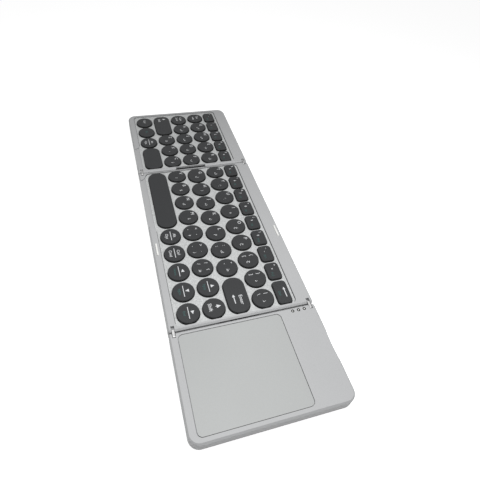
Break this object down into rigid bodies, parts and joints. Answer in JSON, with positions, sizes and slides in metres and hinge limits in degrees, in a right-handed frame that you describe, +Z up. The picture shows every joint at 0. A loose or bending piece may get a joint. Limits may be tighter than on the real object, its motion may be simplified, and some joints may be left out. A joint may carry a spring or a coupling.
{
  "type": "folding keyboard with touchpad",
  "caption": "Three-panel folding keyboard lying open, with low round keys on two panels, a touchpad on the third, and double-pivot link hinges between the panels.",
  "frame": {"origin": "centre of the overall box of the open keyboard, on the surface its feet stand on", "axes": "+X from the left key panel to the touchpad panel, +Y from the space bars to the number row, +Z up out of the keys"},
  "size_m": [0.3034, 0.0946, 0.0106],
  "materials": {
    "shell": "fine satin silver-grey paint",
    "key_plate": "sparkly satin silver paint",
    "touch_surface": "satin silver-grey film",
    "key_cap": "fine matte charcoal, light printed marks",
    "dome_rubber": "matte grey silicone",
    "circuit_board": "green lacquer",
    "bumper": "matte white",
    "magnet": "bright nickel plate",
    "bright_metal": "bright steel",
    "foot_rubber": "matte black",
    "ribbon": "matte black film",
    "socket_metal": "bright tin plate",
    "battery_wrap": "dull dark wrap",
    "lens": "clear white light pipe"
  },
  "bodies": {
    "middle_panel": {"middle_frame": "shell", "middle_bottom_cover": "shell", "middle_key_plate": "key_plate", "middle_dome_sheet": "dome_rubber", "middle_circuit": "circuit_board", "middle_bumpers": "bumper", "middle_magnets": "magnet", "middle_hinge_pins": "bright_metal", "middle_screws": "bright_metal", "middle_feet": "foot_rubber", "left_ribbon_cable": "ribbon", "right_ribbon_cable": "ribbon"},
    "left_link": {"left_hinge_links": "bright_metal"},
    "left_panel": {"left_frame": "shell", "left_bottom_cover": "shell", "left_key_plate": "key_plate", "left_dome_sheet": "dome_rubber", "left_circuit": "circuit_board", "left_magnet": "magnet", "left_hinge_pins": "bright_metal", "left_screws": "bright_metal", "left_feet": "foot_rubber"},
    "right_link": {"right_hinge_links": "bright_metal"},
    "touchpad_panel": {"touchpad_frame": "shell", "touchpad_bottom_cover": "shell", "touchpad_surface": "touch_surface", "touchpad_sensor_board": "circuit_board", "main_board": "circuit_board", "charging_socket": "socket_metal", "battery": "battery_wrap", "indicator_lenses": "lens", "touchpad_magnet": "magnet", "touchpad_hinge_pins": "bright_metal", "touchpad_screws": "bright_metal", "touchpad_feet": "foot_rubber"},
    "key_left_control": {"left_control_key": "key_cap"},
    "key_function": {"function_key": "key_cap"},
    "key_left_alt": {"left_alt_key": "key_cap"},
    "key_left_space_bar": {"left_space_bar": "key_cap"},
    "key_left_shift": {"left_shift_key": "key_cap"},
    "key_caps": {"caps_key": "key_cap"},
    "key_tab": {"tab_key": "key_cap"},
    "key_left_lower_letter": {"left_lower_letter_keys": "key_cap"},
    "key_left_home_letter": {"left_home_letter_keys": "key_cap"},
    "key_left_upper_letter": {"left_upper_letter_keys": "key_cap"},
    "key_left_number": {"left_number_keys": "key_cap"},
    "key_middle_space_bar": {"middle_space_bar": "key_cap"},
    "key_right_alt": {"right_alt_key": "key_cap"},
    "key_right_control": {"right_control_key": "key_cap"},
    "key_arrow_left": {"arrow_left_key": "key_cap"},
    "key_arrow_down": {"arrow_down_key": "key_cap"},
    "key_arrow_right": {"arrow_right_key": "key_cap"},
    "key_arrow_up": {"arrow_up_key": "key_cap"},
    "key_right_shift": {"right_shift_key": "key_cap"},
    "key_enter": {"enter_key": "key_cap"},
    "key_backspace": {"backspace_key": "key_cap"},
    "key_middle_lower_letter": {"middle_lower_letter_keys": "key_cap"},
    "key_middle_home_letter": {"middle_home_letter_keys": "key_cap"},
    "key_middle_upper_letter": {"middle_upper_letter_keys": "key_cap"},
    "key_middle_number": {"middle_number_keys": "key_cap"}
  },
  "joints": [
    {"name": "left_link_hinge", "type": "hinge", "parent": "middle_panel", "child": "left_link", "pos_m": [-0.0621, 0, 0.0084], "axis": [0, 1, 0], "range_deg": [0, 90], "deforming": ["left_ribbon_cable"]},
    {"name": "left_panel_hinge", "type": "hinge", "parent": "left_link", "child": "left_panel", "pos_m": [-0.0663, 0, 0.0084], "axis": [0, 1, 0], "range_deg": [0, 90]},
    {"name": "right_link_hinge", "type": "hinge", "parent": "middle_panel", "child": "right_link", "pos_m": [0.0859, 0, 0.0084], "axis": [0, -1, 0], "range_deg": [0, 90], "deforming": ["right_ribbon_cable"]},
    {"name": "touchpad_panel_hinge", "type": "hinge", "parent": "right_link", "child": "touchpad_panel", "pos_m": [0.0901, 0, 0.0084], "axis": [0, -1, 0], "range_deg": [0, 90]},
    {"name": "key_left_control_travel", "type": "slide", "parent": "left_panel", "child": "key_left_control", "axis": [0, 0, -1], "range_m": [0, 0.0012], "stiffness_N_per_m": 400},
    {"name": "key_function_travel", "type": "slide", "parent": "left_panel", "child": "key_function", "axis": [0, 0, -1], "range_m": [0, 0.0012], "stiffness_N_per_m": 400},
    {"name": "key_left_alt_travel", "type": "slide", "parent": "left_panel", "child": "key_left_alt", "axis": [0, 0, -1], "range_m": [0, 0.0012], "stiffness_N_per_m": 400},
    {"name": "key_left_space_bar_travel", "type": "slide", "parent": "left_panel", "child": "key_left_space_bar", "axis": [0, 0, -1], "range_m": [0, 0.0012], "stiffness_N_per_m": 400, "deforming": ["left_dome_sheet"]},
    {"name": "key_left_shift_travel", "type": "slide", "parent": "left_panel", "child": "key_left_shift", "axis": [0, 0, -1], "range_m": [0, 0.0012], "stiffness_N_per_m": 400},
    {"name": "key_caps_travel", "type": "slide", "parent": "left_panel", "child": "key_caps", "axis": [0, 0, -1], "range_m": [0, 0.0012], "stiffness_N_per_m": 400},
    {"name": "key_tab_travel", "type": "slide", "parent": "left_panel", "child": "key_tab", "axis": [0, 0, -1], "range_m": [0, 0.0012], "stiffness_N_per_m": 400},
    {"name": "key_left_lower_letter_travel", "type": "slide", "parent": "left_panel", "child": "key_left_lower_letter", "axis": [0, 0, -1], "range_m": [0, 0.0012], "stiffness_N_per_m": 1200},
    {"name": "key_left_home_letter_travel", "type": "slide", "parent": "left_panel", "child": "key_left_home_letter", "axis": [0, 0, -1], "range_m": [0, 0.0012], "stiffness_N_per_m": 1600},
    {"name": "key_left_upper_letter_travel", "type": "slide", "parent": "left_panel", "child": "key_left_upper_letter", "axis": [0, 0, -1], "range_m": [0, 0.0012], "stiffness_N_per_m": 1600},
    {"name": "key_left_number_travel", "type": "slide", "parent": "left_panel", "child": "key_left_number", "axis": [0, 0, -1], "range_m": [0, 0.0012], "stiffness_N_per_m": 2000},
    {"name": "key_middle_space_bar_travel", "type": "slide", "parent": "middle_panel", "child": "key_middle_space_bar", "axis": [0, 0, -1], "range_m": [0, 0.0012], "stiffness_N_per_m": 400, "deforming": ["middle_dome_sheet"]},
    {"name": "key_right_alt_travel", "type": "slide", "parent": "middle_panel", "child": "key_right_alt", "axis": [0, 0, -1], "range_m": [0, 0.0012], "stiffness_N_per_m": 400},
    {"name": "key_right_control_travel", "type": "slide", "parent": "middle_panel", "child": "key_right_control", "axis": [0, 0, -1], "range_m": [0, 0.0012], "stiffness_N_per_m": 400},
    {"name": "key_arrow_left_travel", "type": "slide", "parent": "middle_panel", "child": "key_arrow_left", "axis": [0, 0, -1], "range_m": [0, 0.0012], "stiffness_N_per_m": 400},
    {"name": "key_arrow_down_travel", "type": "slide", "parent": "middle_panel", "child": "key_arrow_down", "axis": [0, 0, -1], "range_m": [0, 0.0012], "stiffness_N_per_m": 400},
    {"name": "key_arrow_right_travel", "type": "slide", "parent": "middle_panel", "child": "key_arrow_right", "axis": [0, 0, -1], "range_m": [0, 0.0012], "stiffness_N_per_m": 400},
    {"name": "key_arrow_up_travel", "type": "slide", "parent": "middle_panel", "child": "key_arrow_up", "axis": [0, 0, -1], "range_m": [0, 0.0012], "stiffness_N_per_m": 400},
    {"name": "key_right_shift_travel", "type": "slide", "parent": "middle_panel", "child": "key_right_shift", "axis": [0, 0, -1], "range_m": [0, 0.0012], "stiffness_N_per_m": 400},
    {"name": "key_enter_travel", "type": "slide", "parent": "middle_panel", "child": "key_enter", "axis": [0, 0, -1], "range_m": [0, 0.0012], "stiffness_N_per_m": 400},
    {"name": "key_backspace_travel", "type": "slide", "parent": "middle_panel", "child": "key_backspace", "axis": [0, 0, -1], "range_m": [0, 0.0012], "stiffness_N_per_m": 400},
    {"name": "key_middle_lower_letter_travel", "type": "slide", "parent": "middle_panel", "child": "key_middle_lower_letter", "axis": [0, 0, -1], "range_m": [0, 0.0012], "stiffness_N_per_m": 2800},
    {"name": "key_middle_home_letter_travel", "type": "slide", "parent": "middle_panel", "child": "key_middle_home_letter", "axis": [0, 0, -1], "range_m": [0, 0.0012], "stiffness_N_per_m": 2800},
    {"name": "key_middle_upper_letter_travel", "type": "slide", "parent": "middle_panel", "child": "key_middle_upper_letter", "axis": [0, 0, -1], "range_m": [0, 0.0012], "stiffness_N_per_m": 3600},
    {"name": "key_middle_number_travel", "type": "slide", "parent": "middle_panel", "child": "key_middle_number", "axis": [0, 0, -1], "range_m": [0, 0.0012], "stiffness_N_per_m": 3200}
  ]
}
